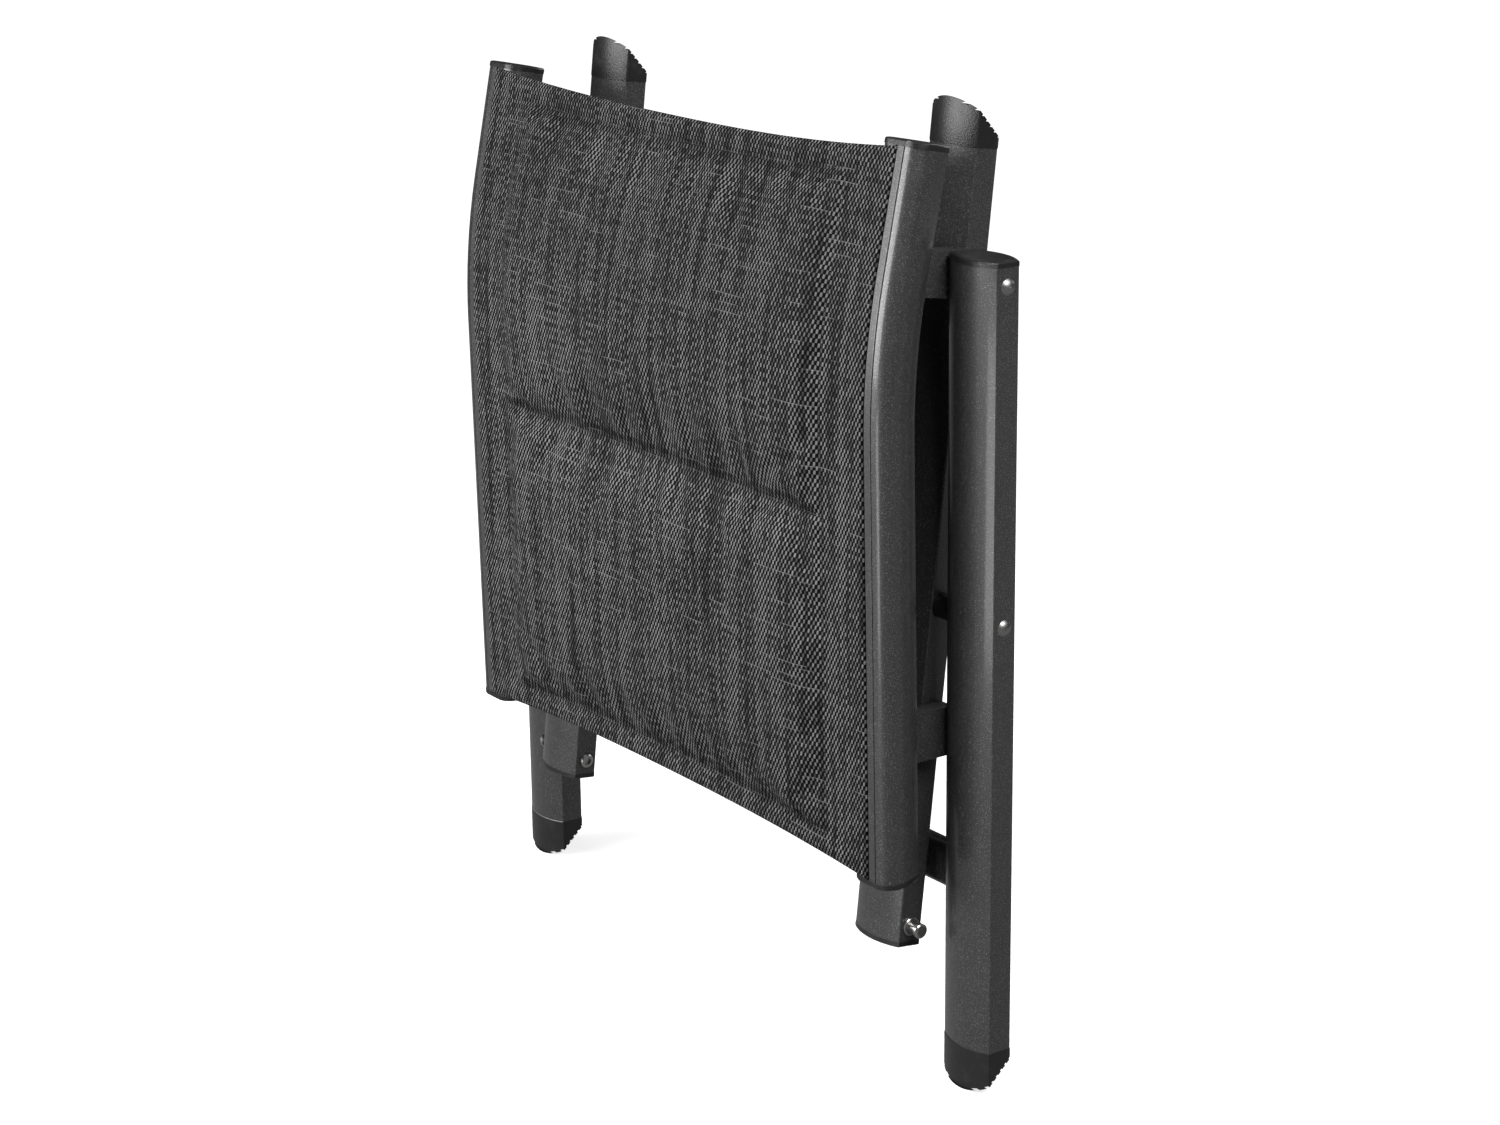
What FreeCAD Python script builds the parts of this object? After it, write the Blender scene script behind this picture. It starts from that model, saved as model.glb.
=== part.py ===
import FreeCAD, Part
import math
import os
import Sketcher

# Folding camp stool: two crossing leg frames and a padded sling seat on two bent side rails.
# Rest pose: folded flat and stood upright on the outer legs, as it is stored.
# Frame: X across the seat, +Y to the back of the folded stool, +Z up, Z = 0 at the feet.
# Right-hand pieces are modelled and mirrored in the plane X = 0 to make the left-hand ones.

Vec = FreeCAD.Vector
Rot = FreeCAD.Rotation
X_AXIS = Vec(1, 0, 0)
Y_AXIS = Vec(0, 1, 0)
Z_AXIS = Vec(0, 0, 1)

os.makedirs("parts", exist_ok=True)
doc = FreeCAD.newDocument("folding_stool")
sheet = doc.addObject("Spreadsheet::Sheet", "Dims")

DIMENSIONS = [
    # alias, value in mm or degrees
    ("overall_width", 524.2),       # over the outer legs' outer faces
    ("leg_width", 43.1),            # leg tube across its flat sides
    ("leg_flat", 15.4),             # depth of each flat side
    ("leg_crown", 6.0),             # rise of the curved front and back faces
    ("leg_wall", 1.6),
    ("leg_edge", 1.2),              # corner radius of the leg tube
    ("leg_gap", 14.4),              # between outer and inner legs
    ("leg_line", 12.71),            # Y of the outer legs' centre plane
    ("outer_tube_top", 502.0),
    ("foot_height", 27.2),          # visible height of a foot
    ("cap_height", 3.6),
    ("cap_dome", 1.2),
    ("hinge_height", 491.0),        # seat hinge on the outer leg
    ("pivot_height", 292.0),        # crossing point of the legs
    ("link_length", 199.0),         # crossing point to latch pin, the same as to the hinge
    ("fold_angle", 6.6),            # tilt of the inner legs when folded
    ("open_angle", 46.75),          # legs to seat when open
    ("inner_tube_up", 268.3),       # crossing point to the foot end of the inner tube
    ("inner_tube_down", 208.6),     # crossing point to the latch end of the inner tube
    ("rail_inset", 46.5),           # sling slot, in from the outer leg's outer face
    ("rail_half", 17.0),            # half width of the side rail
    ("rail_face", 2.6),             # slot line to the rail's front face
    ("rail_deep", 27.5),            # slot line to the rail's back face
    ("rail_wall", 1.8),
    ("rail_lower", 263.5),          # straight lower run of the rail
    ("rail_bend_radius", 442.0),
    ("rail_bend", 12.4),            # degrees turned in the bend
    ("rail_upper", 74.0),           # straight upper run
    ("rail_lean", 0.76),            # forward lean of the lower run when folded
    ("rail_foot_y", -47.89),        # slot line at the rail's lower end
    ("rail_foot_z", 137.5),
    ("keder_bore", 5.6),
    ("keder_rod", 4.4),
    ("keder_mouth", 2.4),
    ("keder_depth", 2.6),           # slot line to the rod's centre
    ("sling_thick", 8.0),           # over the foam
    ("sling_skin", 1.0),            # single textile layer at the rails
    ("foam_thick", 5.6),
    ("stretcher_tall", 30.0),
    ("stretcher_deep", 9.6),
    ("stretcher_height", 131.0),    # centre of the outer frame's stretcher
    ("inner_stretcher_up", 165.0),  # crossing point to the inner frame's stretcher
    ("crossbar_long", 20.0),
    ("crossbar_deep", 10.0),
    ("bar_wall", 1.5),
    ("rivet_shank", 6.0),
    ("rivet_head", 9.8),
    ("rivet_dome", 2.3),
    ("running_fit", 0.1),           # hole diameter over shank diameter
    ("bracket_thick", 10.0),
    ("bracket_tall", 28.0),
    ("block_thick", 11.6),
    ("block_tall", 30.0),
    ("block_deep", 38.5),
    ("channel_wide", 9.8),
    ("channel_deep", 9.4),
    ("pin_stem", 5.0),
    ("pin_head", 9.2),
    ("pin_flange", 11.3),
    ("pin_reach", 11.0),
    ("bolt_shank", 4.0),
    ("bolt_head", 9.6),
    ("washer_wide", 15.0),
    ("washer_play", 0.1),           # end play of washers and spacers
    ("tail_thick", 1.5),            # flattened inner end of the hinge rivet
]


def fill_sheet():
    for row, (alias, value) in enumerate(DIMENSIONS, start=1):
        sheet.set("A%d" % row, alias)
        sheet.set("B%d" % row, str(value))
        sheet.setAlias("B%d" % row, alias)
    doc.recompute()


fill_sheet()


def value(text):
    """The present value of an expression over the sheet."""
    return float(sheet.evalExpression(str(text)))


# Places that several pieces share, as expressions over the sheet.
LEG_X = "(Dims.overall_width - Dims.leg_width) / 2"
OUTER_FACE_X = "Dims.overall_width / 2"
GAP_OUTER_X = "Dims.overall_width / 2 - Dims.leg_width"
GAP_INNER_X = "Dims.overall_width / 2 - Dims.leg_width - Dims.leg_gap"
INNER_LEG_X = "Dims.overall_width / 2 - Dims.leg_width * 3 / 2 - Dims.leg_gap"
INNER_FACE_X = "Dims.overall_width / 2 - Dims.leg_width * 2 - Dims.leg_gap"
SLOT_X = "Dims.overall_width / 2 - Dims.rail_inset"
CROWN_RADIUS = "((Dims.leg_width / 2)^2 + Dims.leg_crown^2) / (2 * Dims.leg_crown)"
CROWN_CENTRE = CROWN_RADIUS + " - Dims.leg_flat / 2 - Dims.leg_crown"
LEG_HALF_DEEP = "(Dims.leg_flat / 2 + Dims.leg_crown)"
HINGE_LEAN = "Dims.fold_angle / 2"
BRACKET_X = SLOT_X + " - Dims.bracket_thick / 2 - 3.6"
BLOCK_X = GAP_INNER_X + " + 2"
OPEN_REACH = "2 * Dims.link_length * cos(Dims.open_angle)"

FIT = 0.15              # slack between a plug and the tube it closes
LIP_END = 6.9           # rail section: the sling lip's outer edge, from the slot line
LIP_ROUND = 0.6
GROOVE_OUT = 7.9        # outer edge of the trim groove beside the lip
GROOVE_DEEP = 0.95
SLING_FRONT = -6.0      # sling's front face over the foam, from the slot line
SLING_EDGE = 1.4        # cloth edge, in from the slot line
SLING_SLOPE = 24.0      # width of the slope from the foam to the single cloth
FOAM_EDGE = 44.0        # foam edge, in from the slot line
LOWER_FOAM = (26.0, 206.0)
UPPER_FOAM = (219.0, 52.0)
LOWER_BAR = (15.5, 19.0)        # crossbar centre, behind and above the rails' lower end
UPPER_BAR = (16.0, 50.0)        # behind the slot line and beyond the bend
PLUG_CAP = 5.0          # depth of an end cap's plug
PLUG_FOOT = 25.0        # depth of a foot's plug
FOOT_PROUD = 0.3        # foot and cap stand proud of the tube
CAP_EDGE = 1.0          # rounding of a cap's rim


# ---------------------------------------------------------------- helpers

def place(obj, x="0", y="0", z="0", turn=0.0, axis=X_AXIS):
    """Turn an object about an axis through its own origin and bind its position."""
    obj.Placement = FreeCAD.Placement(Vec(value(x), value(y), value(z)), Rot(axis, turn))
    for letter, text in zip("xyz", (x, y, z)):
        obj.setExpression("Placement.Base." + letter, str(text))
    return obj


def label(obj, name):
    obj.Label = name
    return obj


def bind(sketch, constraint, text):
    index = sketch.addConstraint(constraint)
    sketch.setExpression("Constraints[%d]" % index, text)


def sketch_on(body, role, name, lift="0"):
    """A sketch on one of the body's own origin planes, lifted along its normal."""
    sketch = body.newObject("Sketcher::SketchObject", name)
    support = next(item for item in body.Origin.OriginFeatures if item.Role == role)
    sketch.AttachmentSupport = (support, [""])
    sketch.MapMode = "FlatFace"
    sketch.setExpression("AttachmentOffset.Base.z", lift)
    return sketch


def close_loop(sketch, first, count):
    for step in range(count):
        follower = first + (step + 1) % count
        sketch.addConstraint(Sketcher.Constraint("Coincident", first + step, 2, follower, 1))


def barrel_loop(sketch, inset="0"):
    """Leg section: two flat sides joined by curved front and back faces, inset all round."""
    radius = value("%s - (%s)" % (CROWN_RADIUS, inset))
    side = value("Dims.leg_width / 2 - (%s)" % inset)
    centre = value(CROWN_CENTRE)
    flat = math.sqrt(radius ** 2 - side ** 2) - centre
    swing = math.acos(side / radius)
    back = Part.Circle(Vec(0, -centre, 0), Z_AXIS, radius)
    front = Part.Circle(Vec(0, centre, 0), Z_AXIS, radius)
    first = sketch.GeometryCount
    sketch.addGeometry(Part.ArcOfCircle(back, swing, math.pi - swing))
    sketch.addGeometry(Part.LineSegment(Vec(-side, flat, 0), Vec(-side, -flat, 0)))
    sketch.addGeometry(Part.ArcOfCircle(front, math.pi + swing, 2 * math.pi - swing))
    sketch.addGeometry(Part.LineSegment(Vec(side, -flat, 0), Vec(side, flat, 0)))
    close_loop(sketch, first, 4)
    sketch.addConstraint(Sketcher.Constraint("Vertical", first + 1))
    sketch.addConstraint(Sketcher.Constraint("Vertical", first + 3))
    sketch.addConstraint(Sketcher.Constraint("PointOnObject", first, 3, -2))
    sketch.addConstraint(Sketcher.Constraint("PointOnObject", first + 2, 3, -2))
    bind(sketch, Sketcher.Constraint("DistanceY", first, 3, -1, 1, centre), CROWN_CENTRE)
    bind(sketch, Sketcher.Constraint("DistanceY", -1, 1, first + 2, 3, centre), CROWN_CENTRE)
    for arc in (first, first + 2):
        bind(sketch, Sketcher.Constraint("Radius", arc, radius), "%s - (%s)" % (CROWN_RADIUS, inset))
    side_text = "Dims.leg_width / 2 - (%s)" % inset
    bind(sketch, Sketcher.Constraint("DistanceX", -1, 1, first + 3, 1, side), side_text)
    bind(sketch, Sketcher.Constraint("DistanceX", first + 1, 1, -1, 1, side), side_text)


def oval_loop(sketch, long_text, deep_text):
    """A slot shape with round ends, long way up, centred on the sketch's origin."""
    radius = value(deep_text) / 2
    half = value(long_text) / 2 - radius
    top = Part.Circle(Vec(0, half, 0), Z_AXIS, radius)
    low = Part.Circle(Vec(0, -half, 0), Z_AXIS, radius)
    first = sketch.GeometryCount
    sketch.addGeometry(Part.ArcOfCircle(top, 0, math.pi))
    sketch.addGeometry(Part.LineSegment(Vec(-radius, half, 0), Vec(-radius, -half, 0)))
    sketch.addGeometry(Part.ArcOfCircle(low, math.pi, 2 * math.pi))
    sketch.addGeometry(Part.LineSegment(Vec(radius, -half, 0), Vec(radius, half, 0)))
    for step in range(4):
        follower = first + (step + 1) % 4
        sketch.addConstraint(Sketcher.Constraint("Tangent", first + step, 2, follower, 1))
    sketch.addConstraint(Sketcher.Constraint("PointOnObject", first, 3, -2))
    sketch.addConstraint(Sketcher.Constraint("PointOnObject", first + 2, 3, -2))
    half_text = "((%s) - (%s)) / 2" % (long_text, deep_text)
    bind(sketch, Sketcher.Constraint("DistanceY", -1, 1, first, 3, half), half_text)
    bind(sketch, Sketcher.Constraint("DistanceY", first + 2, 3, -1, 1, half), half_text)
    bind(sketch, Sketcher.Constraint("Radius", first, radius), "(%s) / 2" % deep_text)


def outline(sketch, points):
    """A closed outline of straight lines; each corner is a pair of expressions."""
    corners = [Vec(value(x), value(y), 0) for x, y in points]
    first = sketch.GeometryCount
    for start, end in zip(corners, corners[1:] + corners[:1]):
        sketch.addGeometry(Part.LineSegment(start, end))
    close_loop(sketch, first, len(corners))
    for index, (corner, texts) in enumerate(zip(corners, points)):
        line = first + index
        for kind, distance, text, axis in (
            ("DistanceX", corner.x, texts[0], -2),
            ("DistanceY", corner.y, texts[1], -1),
        ):
            if abs(distance) < 1e-9:
                sketch.addConstraint(Sketcher.Constraint("PointOnObject", line, 1, axis))
            elif distance > 0:
                bind(sketch, Sketcher.Constraint(kind, -1, 1, line, 1, distance), text)
            else:
                reverse = Sketcher.Constraint(kind, line, 1, -1, 1, -distance)
                bind(sketch, reverse, "-(%s)" % text)


def pad(body, sketch, length, reverse=False, both=False):
    feature = body.newObject("PartDesign::Pad", sketch.Name + "_pad")
    feature.Profile = sketch
    feature.Reversed = reverse
    if both:
        feature.SideType = "Symmetric"
    feature.setExpression("Length", length)
    return feature


def revolve(body, sketch, axis):
    feature = body.newObject("PartDesign::Revolution", sketch.Name + "_turned")
    feature.Profile = sketch
    feature.ReferenceAxis = (sketch, [axis])
    feature.Angle = 360
    return feature


def bore(body, name, y, z, radius, start="-Dims.leg_width", length="Dims.leg_width * 2"):
    """Drill the body along X."""
    hole = body.newObject("PartDesign::SubtractiveCylinder", name)
    hole.setExpression("Radius", radius)
    hole.setExpression("Height", length)
    return place(hole, start, y, z, 90, Y_AXIS)


def edge_names(shape, wanted):
    return ["Edge%d" % number for number, edge in enumerate(shape.Edges, 1) if wanted(edge)]


def round_edges(body, feature, wanted, radius):
    doc.recompute()
    fillet = body.newObject("PartDesign::Fillet", feature.Name + "_round")
    fillet.Base = (feature, edge_names(feature.Shape, wanted))
    fillet.setExpression("Radius", radius)
    return fillet


def mirrored(source, name):
    twin = doc.addObject("Part::Mirroring", name)
    twin.Source = source
    twin.Normal = X_AXIS
    twin.Base = Vec(0, 0, 0)
    return label(twin, name)


def group(name, pieces):
    """Identical pieces that share a node, kept as separate solids."""
    compound = doc.addObject("Part::Compound", name)
    compound.Links = pieces
    return label(compound, name)


def cut(name, base, tool):
    result = doc.addObject("Part::Cut", name)
    result.Base = base
    result.Tool = tool
    return label(result, name)


def fixed_shape(name, shape, placement=None):
    feature = doc.addObject("Part::Feature", name)
    feature.Shape = shape
    if placement:
        feature.Placement = placement
    return feature


def cylinder_x(name, x, y, z, radius, length):
    """A cylinder along X that starts at x."""
    solid = doc.addObject("Part::Cylinder", name)
    solid.setExpression("Radius", radius)
    solid.setExpression("Height", length)
    return place(solid, x, y, z, 90, Y_AXIS)


def dome_x(name, x, y, z, inward=False):
    """A low domed rivet head that stands on the plane at x."""
    radius = "((Dims.rivet_head / 2)^2 + Dims.rivet_dome^2) / (2 * Dims.rivet_dome)"
    solid = doc.addObject("Part::Sphere", name)
    solid.setExpression("Radius", radius)
    solid.setExpression("Angle1", "asin(1 - Dims.rivet_dome / (%s))" % radius)
    sign = "+" if inward else "-"
    seat = "(%s) %s (%s - Dims.rivet_dome)" % (x, sign, radius)
    return place(solid, seat, y, z, -90 if inward else 90, Y_AXIS)


def fuse(name, shapes):
    result = doc.addObject("Part::MultiFuse", name)
    result.Shapes = shapes
    result.Refine = True
    return label(result, name)


# ---------------------------------------------------------------- legs, caps and feet

def upright_corner(edge, side):
    """Whether an edge runs along local Z at the given distance to either side."""
    ends = [point.Point for point in edge.Vertexes]
    upright = abs(ends[0].x - ends[-1].x) < 1e-6 and abs(ends[0].y - ends[-1].y) < 1e-6
    return upright and abs(abs(ends[0].x) - side) < 1e-3


def leg_tube(name, low, high):
    """A hollow leg tube along local Z, from low to high, with softened corners."""
    body = doc.addObject("PartDesign::Body", name)
    section = sketch_on(body, "XY_Plane", name + "_section", low)
    barrel_loop(section)
    barrel_loop(section, "Dims.leg_wall")
    tube = pad(body, section, "%s - (%s)" % (high, low))
    side = value("Dims.leg_width / 2")
    round_edges(body, tube, lambda edge: upright_corner(edge, side), "Dims.leg_edge")
    return label(body, name)


def end_cap(name):
    """A thin end cap, rim at local Z = 0, domed face up, with a plug below."""
    body = doc.addObject("PartDesign::Body", name)
    plug = sketch_on(body, "XY_Plane", name + "_plug")
    barrel_loop(plug, "Dims.leg_wall + %s" % FIT)
    pad(body, plug, str(PLUG_CAP), reverse=True)
    cover = sketch_on(body, "XY_Plane", name + "_cover")
    barrel_loop(cover, "-%s / 2" % FOOT_PROUD)
    pad(body, cover, "Dims.cap_height - %s" % CAP_EDGE)
    below = sketch_on(body, "XY_Plane", name + "_shoulder", "Dims.cap_height - %s" % CAP_EDGE)
    barrel_loop(below, "-%s / 2" % FOOT_PROUD)
    for step, inset in enumerate((0.25, 0.85, 2.6), start=1):
        lift = "Dims.cap_height - %s + Dims.cap_dome * %s / 3" % (CAP_EDGE, step)
        above = sketch_on(body, "XY_Plane", "%s_ring_%d" % (name, step), lift)
        barrel_loop(above, str(inset))
        rim = body.newObject("PartDesign::AdditiveLoft", "%s_rim_%d" % (name, step))
        rim.Profile = below
        rim.Sections = [above]
        rim.Ruled = True
        below = above
    return label(body, name)


def sole_cutter(name):
    """The wedge under a slanted sole, with a tooth for each tread groove."""
    ribs = 9
    groove_deep = 1.0
    groove_share = 0.36
    front = -value(LEG_HALF_DEEP) - FOOT_PROUD
    back = -front + 1.0
    low = -value("Dims.foot_height")
    slope = 1 / math.tan(math.radians(value("Dims.open_angle")))
    run = (back - front) / ribs
    normal = Vec(0, -slope, 1).normalize() * groove_deep
    points = []
    for rib in range(ribs):
        start = Vec(0, front + run * rib, low + slope * run * rib)
        groove = Vec(0, run * (1 - groove_share), slope * run * (1 - groove_share))
        tooth = start + groove
        after = Vec(0, front + run * (rib + 1), low + slope * run * (rib + 1))
        points += [start, tooth, tooth + normal, after + normal]
    points += [after, Vec(0, back, low - 5), Vec(0, front - 2, low - 5), Vec(0, front - 2, low)]
    face = Part.Face(Part.makePolygon(points + points[:1]))
    width = value("Dims.leg_width") + 10
    solid = face.extrude(Vec(width, 0, 0))
    solid.translate(Vec(-width / 2, 0, 0))
    return fixed_shape(name, solid)


def foot(name, cutter):
    """A foot with its seam at local Z = 0, sole below and a plug above."""
    body = doc.addObject("PartDesign::Body", name + "_block")
    plug = sketch_on(body, "XY_Plane", name + "_plug")
    barrel_loop(plug, "Dims.leg_wall + %s" % FIT)
    barrel_loop(plug, "Dims.leg_wall * 2.5 + %s" % FIT)
    pad(body, plug, str(PLUG_FOOT))
    shoe = sketch_on(body, "XY_Plane", name + "_shoe")
    barrel_loop(shoe, "-%s" % FOOT_PROUD)
    block = pad(body, shoe, "Dims.foot_height", reverse=True)
    side = value("Dims.leg_width / 2") + FOOT_PROUD
    round_edges(body, block, lambda edge: upright_corner(edge, side), "Dims.leg_edge")
    return cut(name, body, cutter)


def outer_leg():
    leg = leg_tube("outer_leg_right", "Dims.foot_height", "Dims.outer_tube_top")
    hole = "(Dims.rivet_shank + Dims.running_fit) / 2"
    bore(leg, "outer_hinge_hole", "0", "Dims.hinge_height", hole)
    bore(leg, "outer_pivot_hole", "0", "Dims.pivot_height", hole)
    place(leg, LEG_X, "Dims.leg_line", "0")
    cap = place(end_cap("outer_cap_right"), LEG_X, "Dims.leg_line", "Dims.outer_tube_top")
    shoe = foot("outer_foot_right", sole_cutter("outer_sole"))
    place(shoe, LEG_X, "Dims.leg_line", "Dims.foot_height")
    return [leg, cap, shoe]


def on_inner_leg(obj, x, along="0", across="0", flip=False):
    """Place an object on the tilted inner leg, at a distance along it from the crossing point."""
    tilt = value("Dims.fold_angle")
    shift_y = "(%s) * sin(Dims.fold_angle) + (%s) * cos(Dims.fold_angle)" % (along, across)
    shift_z = "(%s) * cos(Dims.fold_angle) - (%s) * sin(Dims.fold_angle)" % (along, across)
    y = "Dims.leg_line + " + shift_y
    z = "Dims.pivot_height + " + shift_z
    place(obj, x, y, z, -tilt)
    if flip:
        obj.Placement.Rotation = Rot(X_AXIS, -tilt).multiply(Rot(Y_AXIS, 180))
    return obj


def inner_leg():
    leg = leg_tube("inner_leg_right", "-Dims.inner_tube_down", "Dims.inner_tube_up")
    hole = "(Dims.rivet_shank + Dims.running_fit) / 2"
    bore(leg, "inner_pivot_hole", "0", "0", hole)
    sleeve = "(Dims.bolt_shank + 3 + Dims.running_fit) / 2"
    bore(leg, "pin_hole", "0", "-Dims.link_length", sleeve, start="0", length="Dims.leg_width")
    thread = "(Dims.bolt_shank + Dims.running_fit) / 2"
    bore(leg, "bolt_hole", "0", "-Dims.link_length", thread, length="Dims.leg_width")
    on_inner_leg(leg, INNER_LEG_X)
    cap = end_cap("inner_cap_right")
    on_inner_leg(cap, INNER_LEG_X, "-Dims.inner_tube_down", flip=True)
    shoe = foot("inner_foot_right", sole_cutter("inner_sole"))
    on_inner_leg(shoe, INNER_LEG_X, "Dims.inner_tube_up", flip=True)
    return [leg, cap, shoe]


# ---------------------------------------------------------------- cross tubes

def cross_tube(name, half_length, tall, deep, wall):
    """An oval tube across the stool, centred on its own origin."""
    body = doc.addObject("PartDesign::Body", name)
    section = sketch_on(body, "YZ_Plane", name + "_section")
    oval_loop(section, tall, deep)
    if wall:
        oval_loop(section, "%s - 2 * %s" % (tall, wall), "%s - 2 * %s" % (deep, wall))
    pad(body, section, "2 * (%s)" % half_length, both=True)
    return label(body, name)


def stretchers():
    tall = "Dims.stretcher_tall"
    deep = "Dims.stretcher_deep"
    outer = cross_tube("outer_stretcher", GAP_OUTER_X, tall, deep, "Dims.bar_wall")
    back = "Dims.leg_line + Dims.leg_flat / 2 - Dims.stretcher_deep / 2 - 0.5"
    place(outer, "0", back, "Dims.stretcher_height")
    inner = cross_tube("inner_stretcher", INNER_FACE_X, tall, deep, "Dims.bar_wall")
    on_inner_leg(inner, "0", "Dims.inner_stretcher_up")
    return outer, inner


# ---------------------------------------------------------------- rivets, spacers and latch pins

def hinge_fasteners():
    y = "Dims.leg_line"
    z = "Dims.hinge_height"
    bracket_in = BRACKET_X
    head = dome_x("hinge_rivet_head", OUTER_FACE_X, y, z)
    shank_start = "(%s) - 2 * Dims.washer_play" % bracket_in
    shank = cylinder_x("hinge_rivet_shank", shank_start, y, z, "Dims.rivet_shank / 2",
                       "%s - (%s)" % (OUTER_FACE_X, shank_start))
    tail = cylinder_x("hinge_rivet_tail", "(%s) - Dims.tail_thick" % shank_start, y, z,
                      "Dims.rivet_head / 2", "Dims.tail_thick")
    rivet = fuse("hinge_rivet_right", [head, shank, tail])
    start = "(%s) + Dims.bracket_thick + Dims.washer_play" % bracket_in
    length = "%s - (%s)" % (GAP_OUTER_X, start)
    ring = cylinder_x("hinge_washer_ring", start, y, z, "Dims.washer_wide / 2", length)
    hole = cylinder_x("hinge_washer_hole", "(%s) - 1" % start, y, z,
                      "(Dims.rivet_shank + Dims.running_fit) / 2", "%s + 2" % length)
    washer = cut("hinge_washer_right", ring, hole)
    return rivet, washer


def pivot_fasteners():
    y = "Dims.leg_line"
    z = "Dims.pivot_height"
    inner_end = "(%s) - 0.15" % INNER_FACE_X
    head = dome_x("pivot_rivet_head", OUTER_FACE_X, y, z)
    shank = cylinder_x("pivot_rivet_shank", inner_end, y, z, "Dims.rivet_shank / 2",
                       "%s - (%s)" % (OUTER_FACE_X, inner_end))
    tail = dome_x("pivot_rivet_tail", inner_end, y, z, inward=True)
    rivet = fuse("pivot_rivet_right", [head, shank, tail])
    start = "%s + 0.15" % GAP_INNER_X
    length = "%s - (%s)" % (GAP_OUTER_X, start)
    ring = cylinder_x("pivot_spacer_ring", start, y, z, "Dims.washer_wide / 2", length)
    hole = cylinder_x("pivot_spacer_hole", "%s - 1" % start, y, z,
                      "(Dims.rivet_shank + Dims.running_fit) / 2", "%s + 2" % length)
    spacer = cut("pivot_spacer_right", ring, hole)
    return rivet, spacer


def latch_pin():
    """A turned pin on the inner leg's outer side: flange, stem and head, with a sleeve inside."""
    body = doc.addObject("PartDesign::Body", "latch_pin_right")
    profile = sketch_on(body, "XY_Plane", "latch_pin_profile")
    sleeve = "(Dims.bolt_shank + 3) / 2"
    thread = "(Dims.bolt_shank + Dims.running_fit) / 2"
    inside = "-(Dims.leg_width - Dims.leg_wall - 0.1)"
    outline(profile, [
        (inside, thread),
        (inside, sleeve),
        ("0", sleeve),
        ("0", "Dims.pin_flange / 2"),
        ("1.1", "Dims.pin_flange / 2"),
        ("1.6", "Dims.pin_flange / 2 - 0.5"),
        ("1.6", "Dims.pin_stem / 2"),
        ("Dims.pin_reach - 3.2", "Dims.pin_stem / 2"),
        ("Dims.pin_reach - 3.2", "Dims.pin_head / 2 - 0.4"),
        ("Dims.pin_reach - 2.8", "Dims.pin_head / 2"),
        ("Dims.pin_reach - 0.9", "Dims.pin_head / 2"),
        ("Dims.pin_reach - 0.2", "Dims.pin_head / 2 - 0.7"),
        ("Dims.pin_reach", "Dims.pin_head / 2 - 1.6"),
        ("Dims.pin_reach", "0"),
        ("-Dims.leg_width / 2", "0"),
        ("-Dims.leg_width / 2", thread),
    ])
    revolve(body, profile, "H_Axis")
    on_inner_leg(body, GAP_INNER_X, "-Dims.link_length")
    return label(body, "latch_pin_right")


def latch_bolt():
    """The socket-head bolt that draws the latch pin tight from the leg's inner side."""
    body = doc.addObject("PartDesign::Body", "latch_bolt_right")
    profile = sketch_on(body, "XY_Plane", "latch_bolt_profile")
    head = "Dims.bolt_head / 2"
    outline(profile, [
        ("Dims.leg_width / 2 - 2", "0"),
        ("Dims.leg_width / 2 - 2", "Dims.bolt_shank / 2"),
        ("0", "Dims.bolt_shank / 2"),
        ("0", head),
        ("-1.9", head),
        ("-2.6", head + " - 0.7"),
        ("-2.6", "0"),
    ])
    revolve(body, profile, "H_Axis")
    socket = sketch_on(body, "YZ_Plane", "latch_bolt_socket", "-2.6")
    flats = 5.0
    corner = flats / math.sqrt(3)
    hexagon = [Vec(corner * math.cos(math.radians(60 * step)),
                   corner * math.sin(math.radians(60 * step)), 0) for step in range(6)]
    for start, end in zip(hexagon, hexagon[1:] + hexagon[:1]):
        socket.addGeometry(Part.LineSegment(start, end))
    close_loop(socket, 0, 6)
    recess = body.newObject("PartDesign::Pocket", "latch_bolt_recess")
    recess.Profile = socket
    recess.Reversed = True
    recess.Length = 1.8
    on_inner_leg(body, INNER_FACE_X, "-Dims.link_length")
    return label(body, "latch_bolt_right")


# ---------------------------------------------------------------- side rails and sling

def seat_frame_place():
    """Local frame of the rails: slot line's lower end, local Z up the straight lower run."""
    lean = Rot(X_AXIS, value("Dims.rail_lean"))
    return FreeCAD.Placement(Vec(0, value("Dims.rail_foot_y"), value("Dims.rail_foot_z")), lean)


def bend_end():
    """Local position and direction where the bend meets the upper run."""
    radius = value("Dims.rail_bend_radius")
    turn = math.radians(value("Dims.rail_bend"))
    lower = value("Dims.rail_lower")
    point = Vec(0, radius * (1 - math.cos(turn)), lower + radius * math.sin(turn))
    return point, Vec(0, math.sin(turn), math.cos(turn))


def rail_path(start=0.0, upper=None):
    """The slot line: a straight lower run, a gentle bend to the back and a straight upper run."""
    radius = value("Dims.rail_bend_radius")
    half_turn = math.radians(value("Dims.rail_bend")) / 2
    lower = value("Dims.rail_lower")
    middle = Vec(0, radius * (1 - math.cos(half_turn)), lower + radius * math.sin(half_turn))
    end, way = bend_end()
    top = end + way * (value("Dims.rail_upper") if upper is None else upper)
    return Part.Wire([
        Part.LineSegment(Vec(0, 0, start), Vec(0, 0, lower)).toShape(),
        Part.Arc(Vec(0, 0, lower), middle, end).toShape(),
        Part.LineSegment(end, top).toShape(),
    ])


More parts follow.
